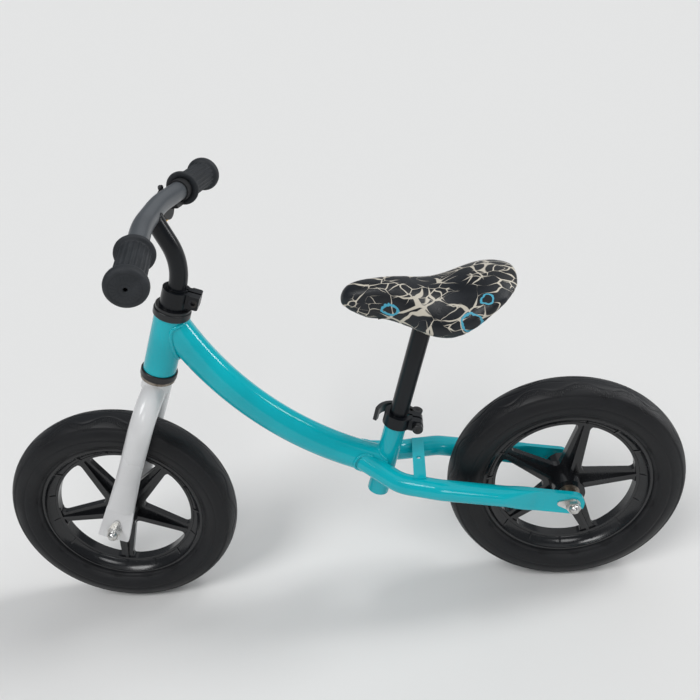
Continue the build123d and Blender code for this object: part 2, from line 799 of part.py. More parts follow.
def striker():
    # Arm in front of the ear, with a round knob just outside the dome's edge
    low = -bell_skirt_gap + body_gap
    high = low + striker_arm_thickness
    knob_place = Pos(0, striker_reach)
    pad = Circle(striker_arm_width / 2 + striker_pin_radius)
    arm = make_hull((Pos(striker_pivot) * pad + knob_place * Circle(striker_arm_width / 2)).edges())
    body = Pos(0, 0, low) * extrude(arm, striker_arm_thickness)
    knob = rod(striker_knob_radius, low, low + striker_knob_height)
    body += knob_place * fillet(knob.edges().group_by(Axis.Z)[-1], striker_knob_round)
    return body - Pos(striker_pivot) * rod(striker_pin_radius + running_gap, low, high)


def striker_pin():
    low = -bell_skirt_gap - bell_base_thickness
    pin_head_low = -bell_skirt_gap + 2 * body_gap + striker_arm_thickness
    pin = rod(striker_pin_radius, low, low + striker_pin_length)
    pin += rod(striker_pin_head_radius, pin_head_low, low + striker_pin_length)
    return Pos(striker_pivot) * pin


save("bell_bracket", bell_bracket())
save("bell_dome", bell_face * bell_dome())
save("bell_screw", bell_face * bell_screw())
save("bell_striker", bell_face * striker())
save("bell_striker_pin", bell_face * striker_pin())

# Quick-release clamp on the seat tube's top, drawn in the seat frame
lug_outer = seat_lug_slit / 2 + seat_lug_width
clamp_low = seat_tube_length - seat_collar_height
clamp_middle = seat_tube_length - seat_collar_height / 2
lug_radius = seat_collar_height / 2
pin_side = -(lug_outer + cam_gap + cam_radius)
skewer_place = Pos(-skewer_back, 0, clamp_middle) * across


def seat_collar():
    outer = seat_tube_radius + seat_collar_wall
    body = rod(outer, clamp_low, seat_tube_length + seat_collar_lip)
    lugs = skewer_place * rod(lug_radius, -lug_outer, lug_outer)
    neck = Pos(-skewer_back / 2, 0, 0) * block(skewer_back, 2 * lug_outer, clamp_low, seat_tube_length)
    body += lugs + neck
    body -= rod(seat_tube_radius + seat_gap, clamp_low, seat_tube_length)
    body -= rod(post_radius + body_gap, clamp_low, seat_tube_length + seat_collar_lip)
    slit = Pos(-skewer_back, 0, clamp_middle)
    body -= slit * Box(2 * skewer_back, seat_lug_slit, 4 * seat_collar_height)
    return body - skewer_place * rod(skewer_radius + seat_gap, -2 * lug_outer, 2 * lug_outer)


def skewer():
    return skewer_place * rod(skewer_radius, pin_side + cam_pin_radius, lug_outer + knob_width)


def skewer_knob():
    knob = rod(knob_radius, lug_outer, lug_outer + knob_width)
    knob = fillet(knob.edges().group_by(Axis.Z)[-1], knob_round)
    return skewer_place * (knob - rod(skewer_radius + seat_gap, lug_outer, lug_outer + knob_width))


lever_low = clamp_middle - lever_height / 2
lever_high = clamp_middle + lever_height / 2
pin_place = Pos(-skewer_back, pin_side, 0)


def cam_pin():
    pin = pin_place * rod(cam_pin_radius, lever_low, lever_high)
    return pin - skewer()


def clamp_lever():
    # Cam head round the pin, slotted for the skewer, and an arm that hugs the collar's right side
    body = pin_place * rod(cam_radius, lever_low, lever_high)
    start = polar(lever_radius, lever_from_angle)
    middle = polar(lever_radius, (lever_from_angle + lever_to_angle) / 2)
    end = polar(lever_radius, lever_to_angle)
    arm = trace(ThreePointArc(start, middle, end), lever_thickness)
    arm += trace(Line((-skewer_back, pin_side), start), lever_thickness)
    body += Pos(0, 0, lever_low) * extrude(arm, lever_height)
    tip_low = lever_low - lever_tip_drop
    tip = block(lever_thickness, lever_tip_length, tip_low, lever_high)
    body += Rot(Z=lever_to_angle) * Pos(lever_radius, lever_tip_length / 2, 0) * tip
    cam_slot_half = skewer_radius + body_gap
    slot = rod(cam_radius + 2 * body_gap, clamp_middle - cam_slot_half, clamp_middle + cam_slot_half)
    return body - pin_place * slot - pin_place * rod(cam_pin_radius + running_gap, lever_low, lever_high)


save("seat_collar", seat * seat_collar())
save("clamp_skewer", seat * skewer())
save("clamp_knob", seat * skewer_knob())
save("clamp_cam_pin", seat * cam_pin())
save("clamp_lever", seat * clamp_lever())

# Saddle: post, socketed pan and crowned cushion
post_top = seat_tube_length + post_exposed
plug_radius = post_radius - post_wall - seat_gap
cross_place = Pos(0, 0, post_top - cross_pin_from_top) * across
pad_origin = seat.from_local_coords(Vector(0, 0, post_top))
pad_origin += Vector(seat_pad_forward, 0, seat_pad_rise)


def pad_plane(forward):
    return Plane(origin=pad_origin + Vector(forward, 0, 0), x_dir=(0, 1, 0), z_dir=(1, 0, 0))


def pad_section(forward, half, low, high):
    shoulder = high - pad_crown * half
    waist = low + pad_waist * (shoulder - low)
    foot = pad_side_draw * half
    top = pad_shoulder * half
    outline = Polyline((-foot, low), (foot, low))
    outline += ThreePointArc((foot, low), (half, waist), (top, shoulder))
    outline += ThreePointArc((top, shoulder), (0, high), (-top, shoulder))
    outline += ThreePointArc((-top, shoulder), (-half, waist), (-foot, low))
    return pad_plane(forward) * make_face(outline)


def pan_section(forward, half, low):
    width = 2 * pan_edge * half
    height = 2 * pan_thickness
    return pad_plane(forward) * Pos(0, low) * Rectangle(width, height)


seat_pad = loft([pad_section(*station) for station in pad_stations])
save("seat_pad", seat_pad)
pan = loft([pan_section(*station[:3]) for station in pad_stations[2:-2]])
plug = seat * rod(plug_radius, post_top - plug_length, post_top + seat_pad_rise)
pin_hole = seat * cross_place * rod(cross_pin_radius + seat_gap, -2 * post_radius, 2 * post_radius)
save("seat_pan", pan + plug - seat_pad - pin_hole)

post_low = seat_tube_length - post_insertion
post = seat * ring(post_radius, post_radius - post_wall, post_low, post_top + seat_pad_rise)
save("seat_post", post - pan - seat_pad - pin_hole)
save("seat_cross_pin", seat * cross_place * rod(cross_pin_radius, -post_radius, post_radius))

save_wheel("front", front_axle, front_wheel_turn, leg_direction)
save_wheel("rear", rear_axle, rear_wheel_turn, stay_rise)
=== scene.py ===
import math

import bmesh
import bpy
from mathutils import Matrix, Vector


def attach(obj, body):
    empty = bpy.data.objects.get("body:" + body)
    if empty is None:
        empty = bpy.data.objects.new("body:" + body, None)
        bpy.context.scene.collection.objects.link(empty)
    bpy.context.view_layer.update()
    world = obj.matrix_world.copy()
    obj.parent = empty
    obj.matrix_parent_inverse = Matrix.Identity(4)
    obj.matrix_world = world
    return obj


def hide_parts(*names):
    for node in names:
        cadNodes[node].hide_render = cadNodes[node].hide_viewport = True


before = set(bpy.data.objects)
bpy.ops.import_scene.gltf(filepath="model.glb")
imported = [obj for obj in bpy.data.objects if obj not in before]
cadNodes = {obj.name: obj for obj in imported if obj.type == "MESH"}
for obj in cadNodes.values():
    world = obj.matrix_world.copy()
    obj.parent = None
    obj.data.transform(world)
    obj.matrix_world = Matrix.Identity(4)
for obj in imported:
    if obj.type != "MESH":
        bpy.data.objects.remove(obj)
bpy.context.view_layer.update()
bpy.context.scene.view_settings.view_transform = "Standard"
print("loaded", len(cadNodes), "parts of the bike")

# where the bike's main lines are, in metres
bikeLines = {
    "frontAxle": Vector((0.283, 0, 0.146)),
    "rearAxle": Vector((-0.283, 0, 0.146)),
    "steerPoint": Vector((0.277926, 0, 0.143878)),
    "steerUp": Vector((-0.385906, 0, 0.922538)),
    "seatUp": Vector((-0.300706, 0, 0.953717)),
    "barMiddle": Vector((0.15921, 0, 0.54037)),
    "barTip": Vector((0.13783, 0.16703, 0.53195)),
    "barOut": Vector((-0.15837, 0.98541, -0.06238)),
    "stemUp": Vector((0.34694, 0, 0.93789)),
}

# the camera stands where the picture was taken
cameraSettings = {
    "place": (-0.112514, 0.771177, 0.801024),
    "yaw": 0.090326,
    "pitch": 0.458114,
    "roll": 0.121549,
    "focalPixels": 770.13,
    "axisPixel": (350, 300),
    "imagePixels": 700,
}


def placeCamera(values):
    yaw, pitch, roll = values["yaw"], values["pitch"], values["roll"]
    flat = math.cos(pitch)
    forward = Vector((flat * math.sin(yaw), -flat * math.cos(yaw), -math.sin(pitch)))
    level = forward.cross(Vector((0, 0, 1))).normalized()
    plumb = forward.cross(level)
    right = level * math.cos(roll) + plumb * math.sin(roll)
    down = plumb * math.cos(roll) - level * math.sin(roll)
    data = bpy.data.cameras.new("photoCamera")
    data.lens = data.sensor_width * values["focalPixels"] / values["imagePixels"]
    half = values["imagePixels"] / 2
    data.shift_x = (half - values["axisPixel"][0]) / values["imagePixels"]
    data.shift_y = (values["axisPixel"][1] - half) / values["imagePixels"]
    camera = bpy.data.objects.new("photoCamera", data)
    bpy.context.scene.collection.objects.link(camera)
    turn = Matrix((right, -down, -forward)).transposed().to_4x4()
    camera.matrix_world = Matrix.Translation(values["place"]) @ turn
    bpy.context.scene.camera = camera


placeCamera(cameraSettings)
print("camera placed")

# pale floor and soft studio light; each lamp: where it comes from, how wide it looks, how strong
studio = {
    "floorColour": (0.80, 0.795, 0.785),
    "floorRoughness": 0.6,
    "floorSize": 60,
    "skyColour": (0.84, 0.90, 0.96),
    "skyStrength": 0.22,
    "lamps": (
        ("keyLight", (0.55, 0.75, 1.25), 26, 1.25),
        ("topLight", (-0.25, 0.05, 1.0), 60, 0.35),
        ("windowHigh", (-0.55, -0.17, 0.82), 14, 0.50),
        ("windowMiddle", (-0.80, -0.20, 0.56), 14, 0.60),
        ("windowLow", (-0.93, -0.22, 0.18), 14, 0.50),
        ("frontLight", (-0.14, 0.88, 0.46), 18, 0.35),
        ("rearLight", (-0.3, -1.2, 0.9), 50, 0.20),
    ),
}


def buildStudio(values):
    bm = bmesh.new()
    bmesh.ops.create_grid(bm, x_segments=1, y_segments=1, size=values["floorSize"] / 2)
    mesh = bpy.data.meshes.new("floor")
    bm.to_mesh(mesh)
    bm.free()
    floor = bpy.data.objects.new("floor", mesh)
    bpy.context.scene.collection.objects.link(floor)
    material = bpy.data.materials.new("floorPale")
    material.use_nodes = True
    shader = material.node_tree.nodes["Principled BSDF"]
    shader.inputs["Base Color"].default_value = (*values["floorColour"], 1)
    shader.inputs["Roughness"].default_value = values["floorRoughness"]
    shader.inputs["Specular IOR Level"].default_value = 0
    mesh.materials.append(material)
    for name, source, width, strength in values["lamps"]:
        data = bpy.data.lights.new(name, "SUN")
        data.angle = math.radians(width)
        data.energy = strength
        lamp = bpy.data.objects.new(name, data)
        bpy.context.scene.collection.objects.link(lamp)
        lamp.rotation_euler = (-Vector(source)).to_track_quat("-Z", "Y").to_euler()
    world = bpy.data.worlds.new("studioSky")
    world.use_nodes = True
    sky = world.node_tree.nodes["Background"]
    sky.inputs["Color"].default_value = (*values["skyColour"], 1)
    sky.inputs["Strength"].default_value = values["skyStrength"]
    bpy.context.scene.world = world


buildStudio(studio)
print("studio built")


# small helpers for node materials; every pattern reads Object coordinates or the piece's own UV
def startMaterial(name, colour, roughness, metallic=0.0, coat=0.0, specular=0.5):
    material = bpy.data.materials.new(name)
    material.use_nodes = True
    tree = material.node_tree
    shader = tree.nodes["Principled BSDF"]
    shader.inputs["Base Color"].default_value = (*colour, 1)
    shader.inputs["Roughness"].default_value = roughness
    shader.inputs["Metallic"].default_value = metallic
    shader.inputs["Coat Weight"].default_value = coat
    shader.inputs["Coat Roughness"].default_value = 0.06
    shader.inputs["Specular IOR Level"].default_value = specular
    return material, tree, shader


def objectPlace(tree, stretch=(1, 1, 1), turn=(0, 0, 0), shift=(0, 0, 0), source="Object"):
    coordinate = tree.nodes.new("ShaderNodeTexCoord")
    mapping = tree.nodes.new("ShaderNodeMapping")
    mapping.inputs["Scale"].default_value = stretch
    mapping.inputs["Rotation"].default_value = turn
    mapping.inputs["Location"].default_value = shift
    tree.links.new(coordinate.outputs[source], mapping.inputs["Vector"])
    return mapping.outputs["Vector"]


def noiseAt(tree, place, scale, detail=3.0, roughness=0.55, distortion=0.0):
    node = tree.nodes.new("ShaderNodeTexNoise")
    node.inputs["Scale"].default_value = scale
    node.inputs["Detail"].default_value = detail
    node.inputs["Roughness"].default_value = roughness
    node.inputs["Distortion"].default_value = distortion
    tree.links.new(place, node.inputs["Vector"])
    return node.outputs["Fac"]


def cellsAt(tree, place, scale, feature):
    node = tree.nodes.new("ShaderNodeTexVoronoi")
    node.feature = feature
    node.inputs["Scale"].default_value = scale
    tree.links.new(place, node.inputs["Vector"])
    return node.outputs["Distance"]


def between(tree, value, low, high, outLow=0.0, outHigh=1.0):
    node = tree.nodes.new("ShaderNodeMapRange")
    node.interpolation_type = "SMOOTHSTEP"
    node.inputs["From Min"].default_value = low
    node.inputs["From Max"].default_value = high
    node.inputs["To Min"].default_value = outLow
    node.inputs["To Max"].default_value = outHigh
    tree.links.new(value, node.inputs["Value"])
    return node.outputs["Result"]


def calc(tree, operation, first, second=None):
    node = tree.nodes.new("ShaderNodeMath")
    node.operation = operation
    for socket, value in zip(node.inputs, (first, second)):
        if value is None:
            continue
        if isinstance(value, (int, float)):
            socket.default_value = value
        else:
            tree.links.new(value, socket)
    return node.outputs["Value"]


def mixColours(tree, amount, first, second):
    node = tree.nodes.new("ShaderNodeMix")
    node.data_type = "RGBA"
    tree.links.new(amount, node.inputs["Factor"])
    for socket, value in ((node.inputs[6], first), (node.inputs[7], second)):
        if isinstance(value, tuple):
            socket.default_value = (*value, 1)
        else:
            tree.links.new(value, socket)
    return node.outputs[2]


def bumpFrom(tree, shader, heights):
    # heights: pairs of a height socket and how many metres it stands for
    normal = None
    for height, distance in heights:
        node = tree.nodes.new("ShaderNodeBump")
        node.inputs["Strength"].default_value = 1.0
        node.inputs["Distance"].default_value = distance
        tree.links.new(height, node.inputs["Height"])
        if normal:
            tree.links.new(normal, node.inputs["Normal"])
        normal = node.outputs["Normal"]
    tree.links.new(normal, shader.inputs["Normal"])


# glossy powder coat with orange peel, faint hairlines and small marks
paintLook = {
    "turquoise": {
        "colour": (0.002, 0.455, 0.53), "shade": (0.002, 0.40, 0.47),
        "mark": (0.03, 0.13, 0.14), "markLevel": 0.80,
    },
    "white": {
        "colour": (0.72, 0.718, 0.72), "shade": (0.65, 0.648, 0.65),
        "mark": (0.27, 0.25, 0.23), "markLevel": 0.70,
    },
    "black": {
        "colour": (0.0045, 0.0055, 0.0075), "shade": (0.007, 0.0085, 0.011),
        "mark": (0.06, 0.06, 0.06), "markLevel": 0.80,
    },
    "grey": {
        "colour": (0.075, 0.083, 0.092), "shade": (0.060, 0.067, 0.075),
        "mark": (0.13, 0.13, 0.13), "markLevel": 0.82,
    },
}
paintGrain = {
    "cloudScale": 14, "patchScale": 9, "speckScale": 260, "hairScale": 900, "peelScale": 420,
    "markEdge": 0.06, "cloudDull": 0.05, "hairDull": 0.10, "markDull": 0.4,
    "peelHeight": 0.00004, "markHeight": -0.00006,
}


def paintMaterial(name, look, roughness, coat, specular):
    material, tree, shader = startMaterial(name, look["colour"], roughness, 0.0, coat, specular)
    grain = paintGrain
    place = objectPlace(tree)
    cloud = between(tree, noiseAt(tree, place, grain["cloudScale"], 2), 0.35, 0.7)
    colour = mixColours(tree, cloud, look["colour"], look["shade"])
    patches = between(tree, noiseAt(tree, place, grain["patchScale"], 2), 0.48, 0.62)
    specks = noiseAt(tree, place, grain["speckScale"], 5, 0.7, 0.6)
    specks = between(tree, specks, look["markLevel"] - grain["markEdge"], look["markLevel"])
    marks = calc(tree, "MULTIPLY", specks, patches)
    colour = mixColours(tree, marks, colour, look["mark"])
    tree.links.new(colour, shader.inputs["Base Color"])
    along = objectPlace(tree, (1, 1, 0.04), (0.3, 0.5, 0.2))
    hairs = between(tree, noiseAt(tree, along, grain["hairScale"], 2, 0.6), 0.66, 0.74)
    rough = roughness
    for dull, amount in ((cloud, "cloudDull"), (hairs, "hairDull"), (marks, "markDull")):
        rough = calc(tree, "ADD", calc(tree, "MULTIPLY", dull, grain[amount]), rough)
    tree.links.new(rough, shader.inputs["Roughness"])
    peel = noiseAt(tree, place, grain["peelScale"], 1, 0.4)
    bumpFrom(tree, shader, ((peel, grain["peelHeight"]), (marks, grain["markHeight"])))
    return material


# moulded plastic: fine grain, flow shading, dust and short scratches
plasticGrain = {
    "filmScale": 16, "fineScale": 600, "hairScale": 700, "grainScale": 1500,
    "filmDull": 0.16, "hairDull": 0.15, "hairHeight": -0.00003,
}


def dustOver(tree, fine, film, share):
    # dust lies where the film is, a share of it in fine grains
    grains = calc(tree, "ADD", calc(tree, "MULTIPLY", fine, share), 1 - share)
    return calc(tree, "MULTIPLY", grains, film)


def plasticMaterial(name, colour, dust, roughness, grainHeight):
    material, tree, shader = startMaterial(name, colour, roughness)
    grain = plasticGrain
    place = objectPlace(tree)
    film = between(tree, noiseAt(tree, place, grain["filmScale"], 4, 0.6), 0.42, 0.78)
    fine = between(tree, noiseAt(tree, place, grain["fineScale"], 4, 0.7), 0.5, 0.75)
    dusty = dustOver(tree, fine, film, 0.6)
    tree.links.new(mixColours(tree, dusty, colour, dust), shader.inputs["Base Color"])
    along = objectPlace(tree, (1, 1, 0.05), (0.8, 0.2, 0.4))
    hairs = between(tree, noiseAt(tree, along, grain["hairScale"], 2, 0.6), 0.67, 0.72)
    rough = roughness
    for dull, amount in ((film, "filmDull"), (hairs, "hairDull")):
        rough = calc(tree, "ADD", calc(tree, "MULTIPLY", dull, grain[amount]), rough)
    tree.links.new(rough, shader.inputs["Roughness"])
    pits = noiseAt(tree, place, grain["grainScale"], 2, 0.5)
    bumpFrom(tree, shader, ((pits, grainHeight), (hairs, grain["hairHeight"])))
    return material


# plated metal: brushed streaks, soft tarnish
metalGrain = {
    "stainScale": 90, "streakScale": 500, "streakDull": 0.16, "stainDull": 0.16, "streakHeight": 0.00003,
}


def metalMaterial(name, colour, tarnish, roughness, streak):
    material, tree, shader = startMaterial(name, colour, roughness, metallic=1.0)
    grain = metalGrain
    place = objectPlace(tree)
    stain = between(tree, noiseAt(tree, place, grain["stainScale"], 4, 0.6), 0.42, 0.72)
    tree.links.new(mixColours(tree, stain, colour, tarnish), shader.inputs["Base Color"])
    lines = noiseAt(tree, objectPlace(tree, streak), grain["streakScale"], 2, 0.6)
    rough = roughness
    for dull, amount in ((lines, "streakDull"), (stain, "stainDull")):
        rough = calc(tree, "ADD", calc(tree, "MULTIPLY", dull, grain[amount]), rough)
    tree.links.new(rough, shader.inputs["Roughness"])
    bumpFrom(tree, shader, ((lines, grain["streakHeight"]),))
    return material


# closed-cell foam of the tyres, with the fine sipes beside the wavy grooves
foamLook = {
    "colour": (0.0062, 0.0065, 0.0078), "dust": (0.0135, 0.0145, 0.0165), "worn": (0.013, 0.0138, 0.016),
    "roughness": 0.42, "filmDull": 0.2, "specular": 0.3, "wornShare": 0.8,
    "filmScale": 12, "fineScale": 420, "grainScale": 700, "poreScale": 900,
    "grainHeight": 0.00010, "poreHeight": 0.00006, "sipeHeight": -0.0012,
}
treadPattern = {"waves": 16, "swing": 0.0036, "offset": 0.0095, "sipes": 420, "sipeLength": 0.0062}


def sipesAt(tree, around, sideways, tread):
    # short fine cuts that start beside the wavy groove
    wave = calc(tree, "SINE", calc(tree, "MULTIPLY", around, 2 * math.pi * tread["waves"]))
    line = calc(tree, "ADD", calc(tree, "MULTIPLY", wave, tread["swing"]), tread["offset"])
    past = calc(tree, "SUBTRACT", sideways, line)
    near = between(tree, past, 0.0006, 0.0014)
    far = between(tree, past, tread["sipeLength"], tread["sipeLength"] + 0.0015, 1.0, 0.0)
    teeth = calc(tree, "SINE", calc(tree, "MULTIPLY", around, 2 * math.pi * tread["sipes"]))
    return calc(tree, "MULTIPLY", between(tree, teeth, 0.25, 0.85), calc(tree, "MULTIPLY", near, far))


def foamMaterial(name, look, tread):
    roughness, specular = look["roughness"], look["specular"]
    material, tree, shader = startMaterial(name, look["colour"], roughness, specular=specular)
    place = objectPlace(tree)
    film = between(tree, noiseAt(tree, place, look["filmScale"], 4, 0.62), 0.38, 0.74)
    fine = between(tree, noiseAt(tree, place, look["fineScale"], 4, 0.7), 0.44, 0.72)
    dusty = dustOver(tree, fine, film, 0.7)
    split = tree.nodes.new("ShaderNodeSeparateXYZ")
    tree.links.new(objectPlace(tree, source="UV"), split.inputs["Vector"])
    around, sideways = split.outputs["X"], calc(tree, "ABSOLUTE", split.outputs["Y"])
    sipes = sipesAt(tree, around, sideways, tread)
    crown = between(tree, sideways, 0.008, 0.020, 1.0, 0.0)
    worn = calc(tree, "MULTIPLY", crown, look["wornShare"])
    colour = mixColours(tree, worn, look["colour"], look["worn"])
    colour = mixColours(tree, dusty, colour, look["dust"])
    tree.links.new(colour, shader.inputs["Base Color"])
    rough = calc(tree, "ADD", calc(tree, "MULTIPLY", film, look["filmDull"]), roughness)
    tree.links.new(rough, shader.inputs["Roughness"])
    grain = noiseAt(tree, place, look["grainScale"], 3, 0.6)
    pores = cellsAt(tree, place, look["poreScale"], "F1")
    heights = ((grain, look["grainHeight"]), (pores, look["poreHeight"]), (sipes, look["sipeHeight"]))
    bumpFrom(tree, shader, heights)
    return material


# grip rubber: dull, with a dusty film and two sizes of grain
rubberGrain = {
    "filmScale": 60, "fineScale": 1300, "coarseScale": 240, "roughness": 0.56, "filmDull": 0.14,
    "specular": 0.35, "fineHeight": 0.00007, "coarseHeight": 0.00008,
}


def rubberMaterial(name, colour, dust):
    grain = rubberGrain
    material, tree, shader = startMaterial(name, colour, grain["roughness"], specular=grain["specular"])
    place = objectPlace(tree)
    film = between(tree, noiseAt(tree, place, grain["filmScale"], 4, 0.6), 0.4, 0.75)
    tree.links.new(mixColours(tree, film, colour, dust), shader.inputs["Base Color"])
    rough = calc(tree, "ADD", calc(tree, "MULTIPLY", film, grain["filmDull"]), grain["roughness"])
    tree.links.new(rough, shader.inputs["Roughness"])
    fine = noiseAt(tree, place, grain["fineScale"], 2, 0.5)
    coarse = noiseAt(tree, place, grain["coarseScale"], 3)
    bumpFrom(tree, shader, ((fine, grain["fineHeight"]), (coarse, grain["coarseHeight"])))
    return material


# saddle cover: grained black vinyl with a painted sheen in cloudy patches, cream branching strokes and a few
# blue rings
coverLook = {
    "black": (0.0055, 0.007, 0.010),
    # lighter bluish black for the painted sheen
    "sheen": (0.010, 0.0125, 0.0175),
    "cream": (0.62, 0.57, 0.48),
    "blue": (0.07, 0.40, 0.56),
    "roughness": 0.36,
    "cloudDull": 0.12,
    "specular": 0.4,
    "driftScale": 26,
    "drift": 0.018,
    "lengthways": 0.52,
    # cell scale, greatest width, scale of the fading, and the noise levels it fades between
    "strokes": ((52, 0.085, 26, 0.33, 0.60), (84, 0.050, 38, 0.42, 0.64)),
    "strokeEdge": 0.02,
    "inkScale": 130,
    "inkWobble": 0.006,
    # centre, radius and line width of each ring
    "rings": (
        ((-0.086, 0.026, 0.412), 0.0100, 0.0016),
        ((-0.172, 0.060, 0.410), 0.0105, 0.0016),
        ((-0.190, 0.048, 0.430), 0.0062, 0.0013),
        ((-0.130, -0.046, 0.402), 0.0120, 0.0016),
        ((-0.192, -0.050, 0.416), 0.0090, 0.0014),
    ),
    "grainScale": 1100,
    "grainHeight": 0.00012,
    "creaseScale": 160,
    "creaseHeight": 0.0002,
}


def strokesOver(tree, place, look):
    # strokes run along drifting cell borders, blob where borders meet and taper off to nothing
    drift = tree.nodes.new("ShaderNodeTexNoise")
    drift.inputs["Scale"].default_value = look["driftScale"]
    drift.inputs["Detail"].default_value = 2
    tree.links.new(place, drift.inputs["Vector"])
    bent = tree.nodes.new("ShaderNodeVectorMath")
    bent.operation = "MULTIPLY_ADD"
    tree.links.new(drift.outputs["Color"], bent.inputs[0])
    bent.inputs[1].default_value = (look["drift"],) * 3
    tree.links.new(place, bent.inputs[2])
    lengthways = tree.nodes.new("ShaderNodeMapping")
    lengthways.inputs["Scale"].default_value = (look["lengthways"], 1, 1)
    tree.links.new(bent.outputs["Vector"], lengthways.inputs["Vector"])
    cells = lengthways.outputs["Vector"]
    lines = 0.0
    for scale, width, fadeScale, fadeLow, fadeHigh in look["strokes"]:
        border = calc(tree, "SUBTRACT", cellsAt(tree, cells, scale, "F2"), cellsAt(tree, cells, scale, "F1"))
        swell = between(tree, noiseAt(tree, place, fadeScale, 1), fadeLow, fadeHigh, 0.0, width)
        inside = calc(tree, "SUBTRACT", swell, border)
        lines = calc(tree, "MAXIMUM", lines, between(tree, inside, 0.0, look["strokeEdge"]))
    return lines


def ringAt(tree, place, wobble, centre, radius, width):
    gap = tree.nodes.new("ShaderNodeVectorMath")
    gap.operation = "DISTANCE"
    tree.links.new(place, gap.inputs[0])
    gap.inputs[1].default_value = centre
    off = calc(tree, "SUBTRACT", calc(tree, "ADD", gap.outputs["Value"], wobble), radius)
    return between(tree, calc(tree, "ABSOLUTE", off), width * 0.6, width * 0.85, 1.0, 0.0)


def coverMaterial(name, look):
    material, tree, shader = startMaterial(name, look["black"], look["roughness"], specular=look["specular"])
    place = objectPlace(tree)
    cloud = between(tree, noiseAt(tree, place, 30, 3), 0.4, 0.7)
    # painted sheen: the lighter black is mixed in over cloudy patches
    colour = mixColours(tree, cloud, look["black"], look["sheen"])
    colour = mixColours(tree, strokesOver(tree, place, look), colour, look["cream"])
    ink = calc(tree, "SUBTRACT", noiseAt(tree, place, look["inkScale"], 2), 0.5)
    wobble = calc(tree, "MULTIPLY", ink, look["inkWobble"])
    for centre, radius, width in look["rings"]:
        colour = mixColours(tree, ringAt(tree, place, wobble, centre, radius, width), colour, look["blue"])
    tree.links.new(colour, shader.inputs["Base Color"])
    rough = calc(tree, "ADD", calc(tree, "MULTIPLY", cloud, look["cloudDull"]), look["roughness"])
    tree.links.new(rough, shader.inputs["Roughness"])
    grain = cellsAt(tree, place, look["grainScale"], "F1")
    creases = noiseAt(tree, place, look["creaseScale"], 2)
    bumpFrom(tree, shader, ((grain, look["grainHeight"]), (creases, look["creaseHeight"])))
    return material


# paints: look, roughness, coat, specular level; plastics: colour, dust, roughness, grain height
alongY, alongX = (1, 0.05, 1), (0.08, 1, 1)
finishes = {
    "framePaint": paintMaterial("framePaint", paintLook["turquoise"], 0.08, 0.25, 0.30),
    "forkPaint": paintMaterial("forkPaint", paintLook["white"], 0.24, 0.30, 0.40),
    "blackPaint": paintMaterial("blackPaint", paintLook["black"], 0.28, 0.05, 0.25),
    "barEnamel": paintMaterial("barEnamel", paintLook["grey"], 0.36, 0.08, 0.35),
    "rimPlastic": plasticMaterial(
        "rimPlastic", (0.0085, 0.009, 0.0105), (0.026, 0.027, 0.029), 0.16, 0.00002
    ),
    "cupPlastic": plasticMaterial(
        "cupPlastic", (0.007, 0.0075, 0.009), (0.020, 0.021, 0.022), 0.30, 0.00003
    ),
    "panPlastic": plasticMaterial(
        "panPlastic", (0.010, 0.0105, 0.012), (0.026, 0.027, 0.028), 0.46, 0.00009
    ),
    "zincPlate": metalMaterial("zincPlate", (0.66, 0.66, 0.65), (0.42, 0.40, 0.36), 0.2, alongY),
    "oiledSteel": metalMaterial("oiledSteel", (0.34, 0.30, 0.26), (0.17, 0.14, 0.11), 0.3, alongY),
    "blackOxide": metalMaterial("blackOxide", (0.035, 0.036, 0.04), (0.07, 0.065, 0.06), 0.34, alongY),
    "brass": metalMaterial("brass", (0.80, 0.52, 0.17), (0.60, 0.36, 0.11), 0.16, alongX),
    "tyreFoam": foamMaterial("tyreFoam", foamLook, treadPattern),
    "gripRubber": rubberMaterial("gripRubber", (0.016, 0.0185, 0.022), (0.030, 0.033, 0.038)),
    "saddleCover": coverMaterial("saddleCover", coverLook),
}

nodeFinish = {
    "framePaint": ("main_tube", "head_tube", "seat_tube", "left_stay", "right_stay", "stay_bridge"),
    "forkPaint": ("left_fork_leg", "right_fork_leg", "crown_seat"),
    "blackPaint": ("stem", "stem_collar", "seat_post", "seat_collar", "steerer"),
    "barEnamel": ("handlebar",),
    "rimPlastic": ("front_rim", "rear_rim"),
    "cupPlastic": ("upper_cup", "lower_cup", "upper_race", "clamp_lever", "clamp_knob"),
    "panPlastic": ("seat_pan", "bell_bracket", "bell_striker"),
    "tyreFoam": ("front_tyre", "rear_tyre"),
    "gripRubber": ("left_grip", "right_grip"),
    "saddleCover": ("seat_pad",),
    "brass": ("bell_dome",),
    "oiledSteel": (
        "front_bearing_outers", "rear_bearing_outers", "front_bearing_inners", "rear_bearing_inners",
        "front_axle_cones", "rear_axle_cones", "lower_race", "upper_ball_ring", "lower_ball_ring",
    ),
    "blackOxide": ("stem_clamp_bolt", "stem_clamp_nut", "seat_cross_pin", "clamp_skewer", "clamp_cam_pin"),
}


def dressNodes():
    finishOf = {node: finish for finish, members in nodeFinish.items() for node in members}
    for name, node in cadNodes.items():
        material = finishes[finishOf.get(name, "zincPlate")]
        node.data.materials.clear()
        node.data.materials.append(material)


dressNodes()
print("finishes made:", len(finishes))


def finishPiece(bm, name, material, body):
    bmesh.ops.remove_doubles(bm, verts=bm.verts, dist=1e-6)
    bmesh.ops.recalc_face_normals(bm, faces=bm.faces)
    for face in bm.faces:
        face.smooth = True
    mesh = bpy.data.meshes.new(name)
    bm.to_mesh(mesh)
    bm.free()
    mesh.materials.append(finishes[material])
    piece = bpy.data.objects.new(name, mesh)
    bpy.context.scene.collection.objects.link(piece)
    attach(piece, body)
    return piece


def drawProfile(bm, points):
    # open chain of edges in the local X (outwards), Z (along the axis) plane
    verts = [bm.verts.new((out, 0, along)) for out, along in points]
    return [bm.edges.new(pair) for pair in zip(verts, verts[1:])]


